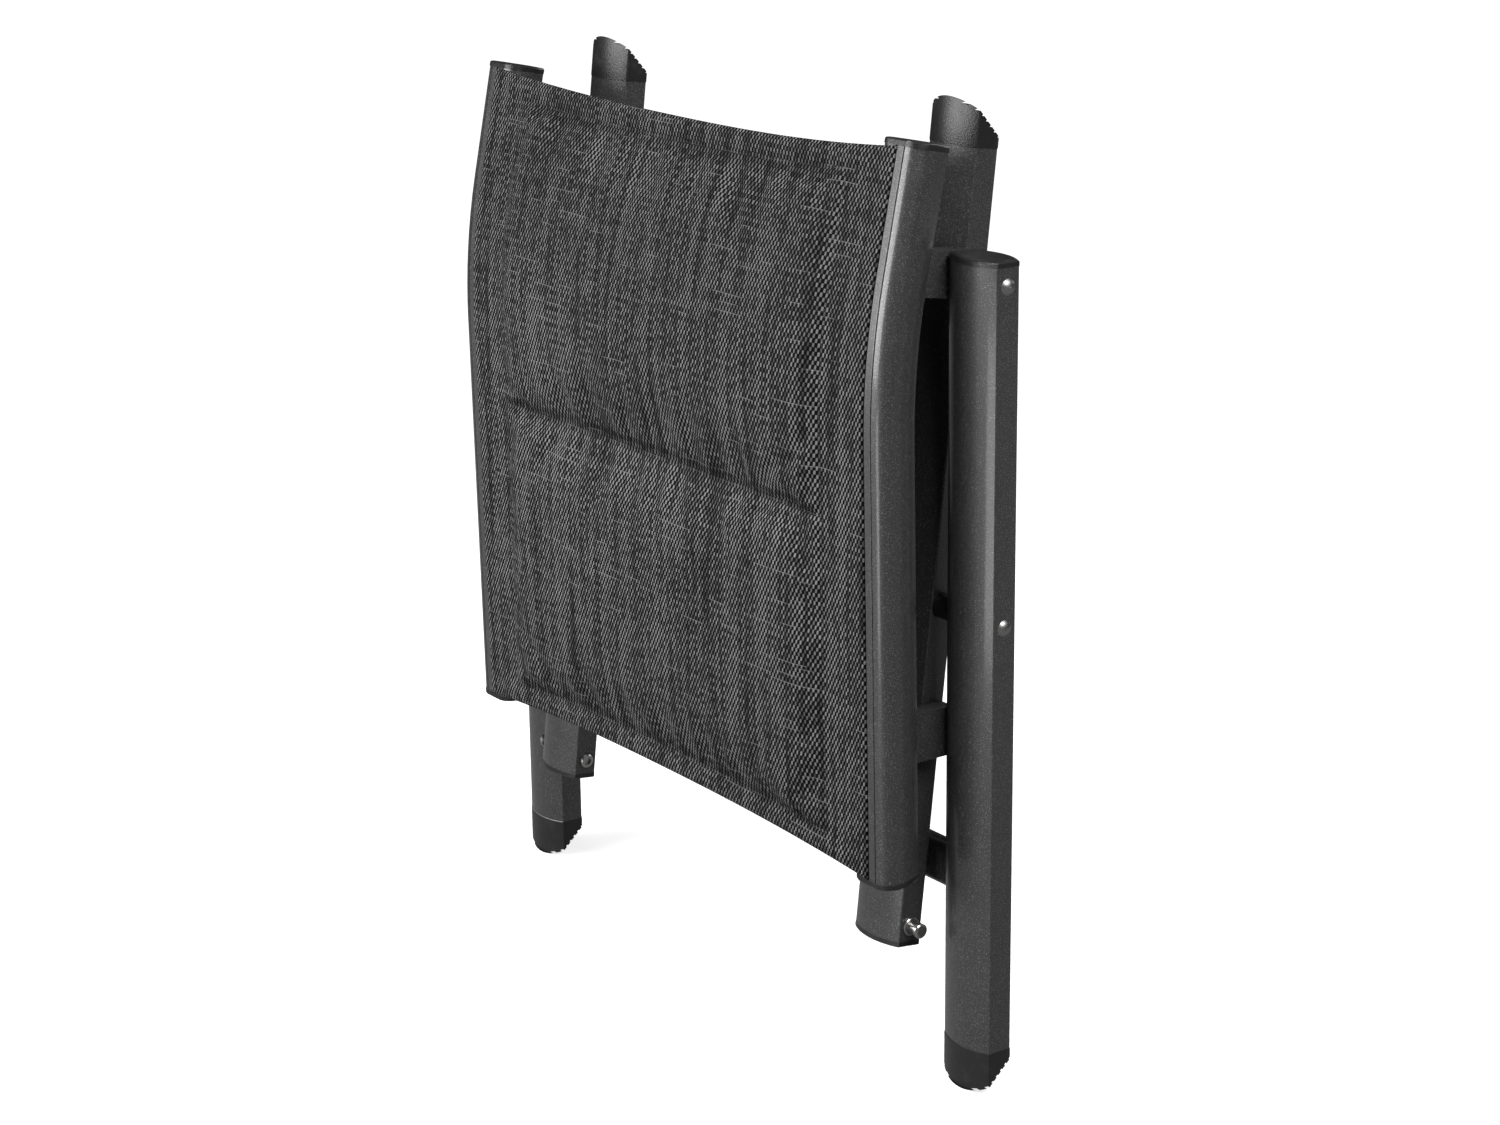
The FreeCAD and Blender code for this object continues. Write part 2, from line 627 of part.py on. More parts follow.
def swept(name, section, path):
    """Sweep a closed section along a rail path, in the rails' local frame."""
    profile = fixed_shape(name + "_section", section)
    spine = fixed_shape(name + "_path", path)
    sweep = doc.addObject("Part::Sweep", name)
    sweep.Sections = [profile]
    sweep.Spine = (spine, ["Edge1", "Edge2", "Edge3"])
    sweep.Solid = True
    sweep.Frenet = False
    sweep.Placement = seat_frame_place()
    return label(sweep, name)


def arc(start, middle, end):
    return Part.Arc(Vec(*start, 0), Vec(*middle, 0), Vec(*end, 0)).toShape()


def line(start, end):
    return Part.LineSegment(Vec(*start, 0), Vec(*end, 0)).toShape()


def rail_flank(side, inset=0.0):
    """Corner points of one flank: front corner, widest point, back corner and back face."""
    half = value("Dims.rail_half") - inset
    face = -value("Dims.rail_face") + inset
    deep = value("Dims.rail_deep") - inset
    return {
        "front": (side * GROOVE_OUT, face),
        "shoulder": (side * (half - 2.6), face + 3.1 + inset),
        "widest": (side * half, 8.2),
        "waist": (side * (half - 1.7), 17.0),
        "heel": (side * (half - 6.2), deep - 1.9),
        "heel_mid": (side * (half - 7.1), deep - 0.6),
        "back": (side * (half - 8.4), deep),
    }


def flank_edges(flank):
    return [
        arc(flank["front"], flank["shoulder"], flank["widest"]),
        arc(flank["widest"], flank["waist"], flank["heel"]),
        arc(flank["heel"], flank["heel_mid"], flank["back"]),
    ]


def rail_outline(inset=0.0, slot=False):
    """Rail section about the slot line, with the keder slot and trim groove where asked."""
    right = rail_flank(1, inset)
    left = rail_flank(-1, inset)
    edges = flank_edges(right) + flank_edges(left)
    edges.append(line(right["back"], left["back"]))
    if not slot:
        edges.append(line(left["front"], right["front"]))
        return Part.Wire(Part.__sortEdges__(edges))
    face = right["front"][1]
    mouth = value("Dims.keder_mouth") / 2
    radius = value("Dims.keder_bore") / 2
    depth = value("Dims.keder_depth")
    meet = depth - math.sqrt(radius ** 2 - mouth ** 2)
    turn = LIP_ROUND * (1 - math.cos(math.pi / 4))
    lip_start = (LIP_END - LIP_ROUND, face)
    lip_middle = (LIP_END - turn, face + turn)
    lip_low = (LIP_END, face + LIP_ROUND)
    groove_low = (GROOVE_OUT - LIP_ROUND, face + GROOVE_DEEP)
    edges += [
        line(left["front"], (-mouth, face)),
        line((-mouth, face), (-mouth, meet)),
        arc((-mouth, meet), (0, depth + radius), (mouth, meet)),
        line((mouth, meet), (mouth, face)),
        line((mouth, face), lip_start),
        arc(lip_start, lip_middle, lip_low),
        line(lip_low, groove_low),
        line(groove_low, right["front"]),
    ]
    return Part.Wire(Part.__sortEdges__(edges))


def hollow_outline():
    """The rail's main hollow, behind the keder slot."""
    wall = value("Dims.rail_wall")
    half = value("Dims.rail_half") - wall
    deep = value("Dims.rail_deep") - wall
    front = value("Dims.keder_depth") + value("Dims.keder_bore") / 2 + wall
    edges = [
        line((-half + 0.1, front), (half - 0.1, front)),
        arc((half - 0.1, front), (half - 1.3, 16.5), (half - 6.3, deep)),
        line((half - 6.3, deep), (-half + 6.3, deep)),
        arc((-half + 6.3, deep), (-half + 1.3, 16.5), (-half + 0.1, front)),
    ]
    return Part.Wire(Part.__sortEdges__(edges))


def shifted(wire, x):
    wire.translate(Vec(x, 0, 0))
    return wire


def side_rail():
    slot = value(SLOT_X)
    solid = swept("rail_envelope_right", shifted(rail_outline(), slot), rail_path())
    shell = swept("rail_shell_right", shifted(rail_outline(slot=True), slot), rail_path())
    hollow = swept("rail_hollow_right", shifted(hollow_outline(), slot), rail_path())
    return cut("seat_rail_right", shell, hollow), solid


def rail_cap(name, top):
    """A thin cap over a rail end, with a plug in the rail's hollow."""
    slot = value(SLOT_X)
    height = value("Dims.cap_height")
    rounds = ((0.0, -0.2), (height - CAP_EDGE, -0.2), (height - 0.3, 0.1), (height, 0.8))
    levels = []
    for level, inset in rounds:
        ring = shifted(rail_outline(inset), slot)
        ring.translate(Vec(0, 0, level))
        levels.append(ring)
    cover = Part.makeLoft(levels, True, True)
    plug = Part.Face(shifted(hollow_outline(), slot)).makeOffset2D(-FIT)
    plug = plug.extrude(Vec(0, 0, -PLUG_CAP * 2))
    solid = cover.fuse(plug).removeSplitter()
    if top:
        end, way = bend_end()
        local = FreeCAD.Placement(end + way * value("Dims.rail_upper"),
                                  Rot(X_AXIS, -value("Dims.rail_bend")))
    else:
        local = FreeCAD.Placement(Vec(0, 0, 0), Rot(X_AXIS, 180))
        solid = solid.mirror(Vec(0, 0, 0), Y_AXIS)
    return label(fixed_shape(name, solid, seat_frame_place().multiply(local)), name)


def keder():
    centre = Vec(value(SLOT_X), value("Dims.keder_depth"), 0)
    circle = Part.Circle(centre, Z_AXIS, value("Dims.keder_rod") / 2)
    return swept("keder_rod_right", Part.Wire(circle.toShape()), rail_path())


def sling_outline():
    """Plain section of the sling: thick over the foam, one thin layer over each rail."""
    reach = value(SLOT_X) - SLING_EDGE
    pad_edge = reach - SLING_SLOPE
    back = SLING_FRONT + value("Dims.sling_thick")
    skin_back = -value("Dims.rail_face") - 0.3
    skin_front = skin_back - value("Dims.sling_skin")
    half = [(pad_edge, SLING_FRONT), (reach, skin_front), (reach, skin_back),
            (pad_edge + 6.0, skin_back), (pad_edge, back)]
    corners = half + [(-x, y) for x, y in reversed(half)]
    points = [Vec(x, y, 0) for x, y in corners]
    return Part.makePolygon(points + points[:1])


def foam_outline(height):
    half = value(SLOT_X) - FOAM_EDGE
    front = SLING_FRONT + (value("Dims.sling_thick") - value("Dims.foam_thick")) / 2
    back = front + value("Dims.foam_thick")
    corners = [(-half, front), (half, front), (half, back), (-half, back), (-half, front)]
    return Part.makePolygon([Vec(x, y, height) for x, y in corners])


def sling():
    low, high = LOWER_FOAM
    block = Part.Face(foam_outline(low)).extrude(Vec(0, 0, high - low))
    lower = label(fixed_shape("foam_pad_lower", block, seat_frame_place()), "foam_pad_lower")
    start, upper_run = UPPER_FOAM
    upper = swept("foam_pad_upper", foam_outline(start), rail_path(start, upper_run))
    cloth = swept("sling_blank", sling_outline(), rail_path())
    foams = group("foam_space", [lower, upper])
    return cut("sling_cover", cloth, foams), lower, upper


def crossbar(name, local_y, local_z, lean, rails):
    """A hidden oval tube between the rails, its ends shaped to the rails' flanks."""
    blank = cross_tube(name + "_blank", SLOT_X, "Dims.crossbar_long", "Dims.crossbar_deep", None)
    hole = cross_tube(name + "_hole", SLOT_X, "Dims.crossbar_long - 2 * Dims.bar_wall",
                      "Dims.crossbar_deep - 2 * Dims.bar_wall", None)
    spot = seat_frame_place().multiply(FreeCAD.Placement(Vec(0, local_y, local_z), Rot(X_AXIS, lean)))
    blank.Placement = spot
    hole.Placement = spot
    tube = cut(name + "_tube", blank, hole)
    return cut(name, tube, rails)


# ---------------------------------------------------------------- hinge brackets and latch blocks

def hinge_bracket(rail):
    """A plate from the rail's back to the hinge rivet, round about the rivet."""
    lean = 9.5          # square to the rail where it leaves it
    reach = 40.0        # far enough to end inside the rail
    half = value("Dims.bracket_tall") / 2
    body = doc.addObject("PartDesign::Body", "hinge_bracket_blank")
    plate = sketch_on(body, "YZ_Plane", "hinge_bracket_plate")
    nose = Part.Circle(Vec(0, 0, 0), Z_AXIS, half)
    plate.addGeometry(Part.ArcOfCircle(nose, -math.pi / 2, math.pi / 2))
    plate.addGeometry(Part.LineSegment(Vec(0, half, 0), Vec(-reach, half, 0)))
    plate.addGeometry(Part.LineSegment(Vec(-reach, half, 0), Vec(-reach, -half, 0)))
    plate.addGeometry(Part.LineSegment(Vec(-reach, -half, 0), Vec(0, -half, 0)))
    close_loop(plate, 0, 4)
    bind(plate, Sketcher.Constraint("Radius", 0, half), "Dims.bracket_tall / 2")
    plate.addConstraint(Sketcher.Constraint("Coincident", 0, 3, -1, 1))
    pad(body, plate, "Dims.bracket_thick")
    hole = "(Dims.rivet_shank + Dims.running_fit) / 2"
    bore(body, "bracket_hole", "0", "0", hole)
    place(body, BRACKET_X, "Dims.leg_line", "Dims.hinge_height", -lean)
    return cut("hinge_bracket_right", body, rail)


def latch_block(rail):
    """The block that takes the latch pin: a channel along the seat's hinge line, open below."""
    corner = 2.0
    body = doc.addObject("PartDesign::Body", "latch_block_blank")
    side = sketch_on(body, "YZ_Plane", "latch_block_side")
    outline(side, [
        ("0", "-Dims.block_tall / 2"),
        ("Dims.block_deep", "-Dims.block_tall / 2"),
        ("Dims.block_deep", "Dims.block_tall / 2"),
        ("0", "Dims.block_tall / 2"),
    ])
    solid = pad(body, side, "Dims.block_thick")
    back = value("Dims.block_deep")

    def back_corner(edge):
        lies_along_x = abs(edge.BoundBox.XLength - value("Dims.block_thick")) < 1e-3
        return lies_along_x and abs(edge.CenterOfMass.y - back) < 1e-3

    round_edges(body, solid, back_corner, str(corner))
    drop = "(%s) * cos(%s)" % (OPEN_REACH, HINGE_LEAN)
    shift = "(%s) * sin(%s)" % (OPEN_REACH, HINGE_LEAN)
    pin_y = "Dims.leg_line - " + shift
    pin_z = "Dims.hinge_height - " + drop
    front = "Dims.rail_foot_y + Dims.rail_deep - 6"
    place(body, BLOCK_X, front, pin_z)
    tilt = -value(HINGE_LEAN)
    slide = doc.addObject("Part::Box", "latch_channel_slide")
    slide.setExpression("Length", "Dims.channel_deep + 1")
    slide.setExpression("Width", "Dims.channel_wide")
    slide.setExpression("Height", "Dims.block_tall")
    along = Rot(X_AXIS, tilt)
    stop = Vec(value(BLOCK_X) - 1, value(pin_y), value(pin_z))
    corner_shift = along.multVec(Vec(0, -value("Dims.channel_wide") / 2, -value("Dims.block_tall")))
    slide.Placement = FreeCAD.Placement(stop + corner_shift, along)
    end = cylinder_x("latch_channel_end", BLOCK_X + " - 1", pin_y, pin_z,
                     "Dims.channel_wide / 2", "Dims.channel_deep + 1")
    channel = fuse("latch_channel", [slide, end])
    milled = cut("latch_block_milled", body, channel)
    return cut("latch_block_right", milled, rail)


# ---------------------------------------------------------------- assembly

def pair(right):
    """The right-hand piece and its mirror twin, each its own node."""
    return [right, mirrored(right, right.Label.replace("_right", "_left"))]


def twin_group(name, right):
    return group(name, [right, mirrored(right, right.Name + "_twin")])


def build():
    nodes = []
    for right in outer_leg() + inner_leg():
        nodes += pair(right)
    nodes += stretchers()
    rivet, washer = hinge_fasteners()
    nodes += [twin_group("hinge_rivets", rivet), twin_group("hinge_washers", washer)]
    rivet, spacer = pivot_fasteners()
    nodes += [twin_group("pivot_rivets", rivet), twin_group("pivot_spacers", spacer)]
    nodes += [twin_group("latch_pins", latch_pin()), twin_group("latch_bolts", latch_bolt())]
    rail, envelope = side_rail()
    nodes += pair(rail)
    for name, top in (("rail_top_cap_right", True), ("rail_bottom_cap_right", False)):
        nodes += pair(rail_cap(name, top))
    nodes += pair(keder())
    both_rails = group("rail_envelopes", [envelope, mirrored(envelope, "rail_envelope_left")])
    nodes.append(crossbar("lower_crossbar", *LOWER_BAR, 0.0, both_rails))
    point, way = bend_end()
    upper_bar = point + way * UPPER_BAR[1] + Vec(0, way.z, -way.y) * UPPER_BAR[0]
    nodes.append(crossbar("upper_crossbar", upper_bar.y, upper_bar.z,
                          -value("Dims.rail_bend"), both_rails))
    nodes += pair(hinge_bracket(envelope))
    nodes += pair(latch_block(envelope))
    nodes += sling()
    return nodes


def check(nodes):
    doc.recompute()
    for obj in doc.Objects:
        if "Invalid" in obj.State or "Error" in obj.State:
            raise RuntimeError("%s did not build: %s" % (obj.Label, obj.State))
    for node in nodes:
        if node.Shape.isNull() or not node.Shape.isValid():
            raise RuntimeError("%s has no valid shape" % node.Label)
        if not node.Shape.Solids:
            raise RuntimeError("%s has no solid" % node.Label)


nodes = build()
check(nodes)
whole = FreeCAD.BoundBox()
for node in nodes:
    whole.add(node.Shape.BoundBox)
    node.Shape.exportStep("parts/%s.step" % node.Label)
    print("%-24s %8.0f mm3, %d solid(s)" % (node.Label, node.Shape.Volume, len(node.Shape.Solids)))
print("box", [round(edge, 2) for edge in (whole.XMin, whole.YMin, whole.ZMin,
                                          whole.XMax, whole.YMax, whole.ZMax)])
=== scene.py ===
import bmesh
import bpy
import math
import numpy as np
from mathutils import Matrix, Vector, noise
from mathutils.bvhtree import BVHTree


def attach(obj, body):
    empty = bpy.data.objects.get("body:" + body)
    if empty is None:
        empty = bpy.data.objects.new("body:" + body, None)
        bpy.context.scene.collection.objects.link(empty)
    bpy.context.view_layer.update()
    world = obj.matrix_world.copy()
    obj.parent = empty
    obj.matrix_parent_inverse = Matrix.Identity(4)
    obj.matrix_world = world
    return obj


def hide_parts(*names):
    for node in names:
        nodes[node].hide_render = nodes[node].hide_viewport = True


# Folding camp stool, folded and standing upright: powder-coated frame and padded textile sling.
# Metres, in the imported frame: X across the seat, +Y to the back, +Z up, floor at Z = 0.

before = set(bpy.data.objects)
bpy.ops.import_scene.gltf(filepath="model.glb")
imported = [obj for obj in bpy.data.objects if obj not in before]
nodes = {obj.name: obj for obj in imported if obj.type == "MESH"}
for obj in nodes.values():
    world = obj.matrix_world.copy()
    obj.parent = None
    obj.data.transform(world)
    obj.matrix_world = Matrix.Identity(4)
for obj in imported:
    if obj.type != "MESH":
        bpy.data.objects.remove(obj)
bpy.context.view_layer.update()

MM = 0.001

# The seat's slot line, the same curve that the side rails follow.
SLOT_X = 215.6                  # half distance between the rails' slots
RAIL_FOOT = Vector((0.0, -47.89, 137.5))
RAIL_LEAN = math.radians(0.76)  # forward lean of the lower run
LOWER_RUN = 263.5
BEND_RADIUS = 442.0
BEND_TURN = math.radians(12.4)
UPPER_RUN = 74.0
RUN_LENGTH = LOWER_RUN + BEND_RADIUS * BEND_TURN + UPPER_RUN

# The sling's sewing plan: millimetres across (x) and along the rails (run).
EDGE_CLEAR = 0.4                # sling end to rail end
HEM_HOLLOW = 7.5                # how far each hem curves in at mid span
STITCH_X = 177.0                # border seams
HEM_DEPTH = 14.5                # hem edge to its stitch line
CROSS_SEAM = 214.5              # run of the seam between the two chambers
SKIN_FRONT = -3.9               # front of the flat cloth, from the slot line (minus is forward)
SKIN_BACK = -2.9
SEWN_BELOW = 0.05               # share of a chamber's rise that still counts as sewn down
CELL = 4.0                      # spacing of the cloth grid
CROWN = 4.2                     # rise of each chamber before it is inflated
SIDE_EASE = 26.0                # distance over which a chamber rises from each seam
SEAM_EASE = 12.0
HEM_EASE = 14.0
SWELL_CAP = 5.0                 # most that a point may move while it inflates
INFLATE_FRAMES = 20
HEM_X = 199.0                   # the turned hems end here, beside the rails
HEM_RISE = (1.5, 1.0)           # bulge of a turned hem, front and back
BACK_CROWN = 0.9                # a chamber's rise at the back, as a share of CROWN
SEAM_PULL = (1.6, 1.2)          # how far a seam draws the cloth back, front and back
RIPPLE = 0.5                    # unevenness of the chambers
PLAIN_X = 194.0                 # outer edge of the plain grid, before the rolls into the slots
ROLL_X = 211.0                  # from here outwards the cloth turns into the slot
SEAM_SHADE_FADE = 9.0               # distance over which the painted seam shade fades out at its ends
SEAM_SHADE_SWAY = 1.3               # how far the painted seam shade wanders up and down

# Painted shade band beside each cross-wise seam, bottom to top: offset from the stitches and half height.
SEAM_SHADE_BANDS = [(2.4, 2.6), (2.6, 3.2), (-2.0, 2.2)]
ROW_SPAN = RUN_LENGTH - 2 * (EDGE_CLEAR + HEM_HOLLOW)


# ---------------------------------------------------------------- node helpers

class Graph:
    """Small helper that adds and links shader nodes."""

    def __init__(self, name):
        self.material = bpy.data.materials.new(name)
        self.material.use_nodes = True
        self.tree = self.material.node_tree
        self.shader = self.tree.nodes["Principled BSDF"]
        self.point = self.add("ShaderNodeTexCoord").outputs["Object"]

    def add(self, kind, **settings):
        node = self.tree.nodes.new(kind)
        for key, item in settings.items():
            setattr(node, key, item)
        return node

    def feed(self, socket, item):
        if isinstance(item, bpy.types.NodeSocket):
            self.tree.links.new(item, socket)
        else:
            socket.default_value = item

    def math(self, operation, first, second=0.0, third=0.0, clamp=False):
        node = self.add("ShaderNodeMath", operation=operation, use_clamp=clamp)
        for socket, item in zip(node.inputs, (first, second, third)):
            self.feed(socket, item)
        return node.outputs[0]

    def stretch(self, scale):
        node = self.add("ShaderNodeMapping")
        self.feed(node.inputs["Vector"], self.point)
        node.inputs["Scale"].default_value = scale
        return node.outputs[0]

    def noise(self, vector, scale, detail=2.0, rough=0.5):
        node = self.add("ShaderNodeTexNoise")
        self.feed(node.inputs["Vector"], vector)
        node.inputs["Scale"].default_value = scale
        node.inputs["Detail"].default_value = detail
        node.inputs["Roughness"].default_value = rough
        return node.outputs["Fac"]

    def cells(self, vector, scale):
        node = self.add("ShaderNodeTexVoronoi")
        self.feed(node.inputs["Vector"], vector)
        node.inputs["Scale"].default_value = scale
        return node.outputs["Distance"]

    def spread(self, item, low, high, to_low=0.0, to_high=1.0, smooth=True):
        node = self.add("ShaderNodeMapRange")
        node.interpolation_type = "SMOOTHSTEP" if smooth else "LINEAR"
        for socket, part in zip(node.inputs, (item, low, high, to_low, to_high)):
            self.feed(socket, part)
        return node.outputs[0]

    def mix(self, factor, first, second, blend="MIX"):
        node = self.add("ShaderNodeMix", data_type="RGBA", blend_type=blend)
        self.feed(node.inputs["Factor"], factor)
        self.feed(node.inputs[6], first)
        self.feed(node.inputs[7], second)
        return node.outputs[2]

    def set(self, **values):
        for name, item in values.items():
            self.feed(self.shader.inputs[name.replace("_", " ")], item)

    def bump(self, *layers):
        """Stack height layers, each (height, distance in mm, strength), on the shader's normal."""
        last = None
        for height, distance, strength in layers:
            node = self.add("ShaderNodeBump")
            node.inputs["Strength"].default_value = strength
            node.inputs["Distance"].default_value = distance * MM
            self.feed(node.inputs["Height"], height)
            if last is not None:
                self.feed(node.inputs["Normal"], last)
            last = node.outputs["Normal"]
        self.feed(self.shader.inputs["Normal"], last)


def grey(level, warm=0.0):
    return (level * (1 + warm), level, level * (1 - warm), 1.0)


# ---------------------------------------------------------------- materials

def powder_coat():
    """Anthracite satin powder coat with fine light flecks and a faint orange peel."""
    g = Graph("powder_coat")
    grain = g.noise(g.point, 1500.0, 1.0, 0.6)
    cloud = g.noise(g.point, 38.0, 3.0, 0.6)
    base = g.mix(cloud, grey(0.028), grey(0.037))
    g.set(Base_Color=g.mix(g.spread(grain, 0.56, 0.70), base, grey(0.13)))
    g.set(Roughness=g.spread(cloud, 0.25, 0.75, 0.36, 0.44))
    g.set(Metallic=0.12)
    g.set(Specular_IOR_Level=0.55)
    g.set(Coat_Weight=0.50)
    g.set(Coat_Roughness=0.13)
    g.bump((g.noise(g.point, 420.0, 2.0, 0.5), 0.06, 0.4), (grain, 0.03, 0.5))
    return g.material


def moulded_plastic(name, level, grain, rough):
    """Moulded plastic with a leathery spark-eroded grain and paler rubbed patches."""
    g = Graph(name)
    pebble = g.cells(g.point, grain)
    rub = g.spread(g.noise(g.point, 60.0, 4.0, 0.65), 0.45, 0.8)
    g.set(Base_Color=g.mix(rub, grey(level), grey(level * 1.9)))
    g.set(Roughness=g.spread(rub, 0.0, 1.0, rough, rough + 0.12))
    g.set(Specular_IOR_Level=0.45)
    g.bump((pebble, 0.16, 0.55), (g.noise(g.point, 1800.0, 2.0, 0.6), 0.04, 0.5))
    return g.material


def turned_steel(name, level, rough):
    """Bright plated steel with fine turning rings about X and light handling marks."""
    g = Graph(name)
    split = g.add("ShaderNodeSeparateXYZ")
    g.feed(split.inputs[0], g.point)
    ring = g.math("SINE", g.math("MULTIPLY", split.outputs[0], 16000.0))
    scuff = g.noise(g.stretch((1.0, 1.0, 0.25)), 900.0, 3.0, 0.7)
    g.set(Base_Color=g.mix(scuff, grey(level * 0.8, 0.02), grey(level, 0.01)))
    g.set(Metallic=1.0)
    g.set(Roughness=g.spread(scuff, 0.3, 0.75, rough, rough + 0.14))
    g.bump((ring, 0.008, 0.35), (scuff, 0.02, 0.4))
    return g.material


def nylon():
    """Black nylon: slightly waxy, with a soft mottle."""
    g = Graph("black_nylon")
    mottle = g.noise(g.point, 220.0, 3.0, 0.6)
    g.set(Base_Color=g.mix(mottle, grey(0.010), grey(0.020)))
    g.set(Roughness=g.spread(mottle, 0.3, 0.7, 0.42, 0.56))
    g.bump((g.noise(g.point, 1500.0, 2.0, 0.5), 0.04, 0.5), (mottle, 0.05, 0.3))
    return g.material


WEAVE_DARK = 0.002
WEAVE_LIGHT = 0.19
WEAVE_WIDE = 3.155              # pitch of the light floats along a weft row
WEAVE_TALL = 2.564              # pitch of the weft rows
WEAVE_SLANT = 0.12              # sideways lean of a float over its own height


def woven_textile():
    """Coated textile: brick pattern of pale floats on near-black, with slubs along both yarns; painted shade
    darkens it towards the top and beside the seams.
    """
    g = Graph("woven_textile")
    g.point = g.add("ShaderNodeAttribute", attribute_name="cloth").outputs["Vector"]
    split = g.add("ShaderNodeSeparateXYZ")
    g.feed(split.inputs[0], g.point)
    # painted shade beside the seams, read from the mesh's per-vertex attribute
    crease = g.add("ShaderNodeAttribute", attribute_name="crease").outputs["Fac"]
    drift = g.math("MULTIPLY", g.math("SUBTRACT", g.noise(g.point, 9.0, 2.0, 0.5), 0.5), 1.2)
    along = g.math("ADD", g.math("DIVIDE", split.outputs[2], WEAVE_TALL * MM), drift)
    row = g.math("FLOOR", along)
    rise = g.math("SUBTRACT", g.math("FRACT", along), 0.5)
    odd = g.math("FLOORED_MODULO", row, 2.0)
    lean = g.math("MULTIPLY_ADD", rise, -WEAVE_SLANT, g.math("MULTIPLY", odd, 0.5))
    across = g.math("DIVIDE", split.outputs[0], WEAVE_WIDE * MM)
    shifted = g.math("ADD", across, lean)
    column = g.math("FLOOR", shifted)
    yarn = g.math("SUBTRACT", g.math("MULTIPLY", column, 2.0), odd)
    from_middle = g.math("ABSOLUTE", g.math("SUBTRACT", g.math("FRACT", shifted), 0.5))
    warp = g.spread(from_middle, 0.29, 0.06)
    float_shape = g.math("MULTIPLY", warp, g.spread(g.math("ABSOLUTE", rise), 0.58, 0.34))

    def strand(index, spacing, place, turns):
        """Brightness of one yarn along its own length: steady for a while, then another shade."""
        at = g.add("ShaderNodeCombineXYZ")
        g.feed(at.inputs[0], g.math("MULTIPLY", index, spacing))
        g.feed(at.inputs[1], g.math("MULTIPLY", place, turns))
        return g.noise(at.outputs[0], 1.0, 2.0, 0.6)

    cell = g.add("ShaderNodeCombineXYZ")
    g.feed(cell.inputs[0], column)
    g.feed(cell.inputs[1], row)
    chance = g.add("ShaderNodeTexWhiteNoise", noise_dimensions="2D")
    g.feed(chance.inputs["Vector"], cell.outputs[0])
    speckle = g.spread(chance.outputs["Value"], 0.0, 1.0, 0.50, 1.5, smooth=False)
    warp_shade = g.spread(strand(yarn, 1.73, split.outputs[2], 9.0), 0.36, 0.66, 0.45, 1.55)
    broad = g.spread(g.noise(g.stretch((1.0, 1.0, 0.03)), 95.0, 2.0, 0.6), 0.34, 0.68, 0.66, 1.34)
    weft_shade = g.spread(strand(row, 2.31, split.outputs[0], 8.0), 0.36, 0.66, 0.80, 1.18)
    thin = g.spread(g.math("ABSOLUTE", g.math("SUBTRACT", rise, 0.36)), 0.16, 0.05)
    thread = g.math("MULTIPLY", g.spread(strand(row, 5.77, split.outputs[0], 15.0), 0.61, 0.66), thin)

    shade = g.math("MULTIPLY", g.math("MULTIPLY", speckle, weft_shade), g.math("MULTIPLY", warp_shade, broad))
    light = g.math("MULTIPLY", float_shape, shade)
    level = g.math("ADD", light, g.math("MULTIPLY", thread, 0.5), clamp=True)
    # Painted shade: the colour darkens towards the top of the sling, where it leans back, and in the bands
    # beside the seams.
    painted_top_shade = g.spread(split.outputs[2], 0.22, 0.38, 1.0, 0.70)
    shaded = g.math("MULTIPLY", painted_top_shade, g.spread(crease, 0.0, 1.0, 1.0, 0.22, smooth=False))
    g.set(Base_Color=g.mix(g.math("MULTIPLY", level, shaded), grey(WEAVE_DARK), grey(WEAVE_LIGHT)))
    g.set(Roughness=g.spread(level, 0.0, 1.0, 0.66, 0.52))
    g.set(Specular_IOR_Level=0.05)
    g.bump((float_shape, 0.25, 0.5), (warp_shade, 0.08, 0.3))
    return g.material


def sewing_thread():
    """Dark twisted thread with paler turns."""
    g = Graph("sewing_thread")
    twist = g.math("SINE", g.math("MULTIPLY", g.noise(g.point, 900.0, 1.0, 0.5), 40.0))
    g.set(Base_Color=g.mix(g.spread(twist, -1.0, 1.0), grey(0.012), grey(0.045)))
    g.set(Roughness=0.55)
    g.bump((twist, 0.05, 0.5))
    return g.material


def floor_paper():
    """White paper that glows more with distance, so that it burns out away from the stool."""
    g = Graph("floor_paper")
    fibre = g.noise(g.point, 14.0, 4.0, 0.6)
    g.set(Base_Color=g.mix(fibre, grey(0.90), grey(0.93)))
    g.set(Roughness=0.9)
    g.set(Specular_IOR_Level=0.1)
    far = g.add("ShaderNodeVectorMath", operation="LENGTH")
    g.feed(far.inputs[0], g.point)
    g.set(Emission_Color=grey(1.0))
    g.set(Emission_Strength=g.spread(far.outputs["Value"], 0.5, 2.6, 0.60, 1.05))
    return g.material


def backdrop_white():
    """Burnt-out white behind everything."""
    g = Graph("backdrop_white")
    g.set(Base_Color=grey(0.0))
    g.set(Emission_Color=grey(1.0))
    g.set(Emission_Strength=1.1)
    return g.material


# ---------------------------------------------------------------- the CAD nodes' finishes

FINISHES = {
    "frame_coat": powder_coat(),
    "cap_plastic": moulded_plastic("cap_black", 0.012, 1100.0, 0.34),
    "foot_plastic": moulded_plastic("foot_black", 0.012, 1000.0, 0.36),
    "rivet_steel": turned_steel("rivet_plated", 0.34, 0.34),
    "pin_steel": turned_steel("pin_plated", 0.45, 0.26),
    "nylon": nylon(),
}


def dress_nodes():
    for node in nodes.values():
        for slot in node.material_slots:
            finish = FINISHES.get(slot.material.name.split(".")[0])
            if finish is not None:
                slot.material = finish


# ---------------------------------------------------------------- the slot line

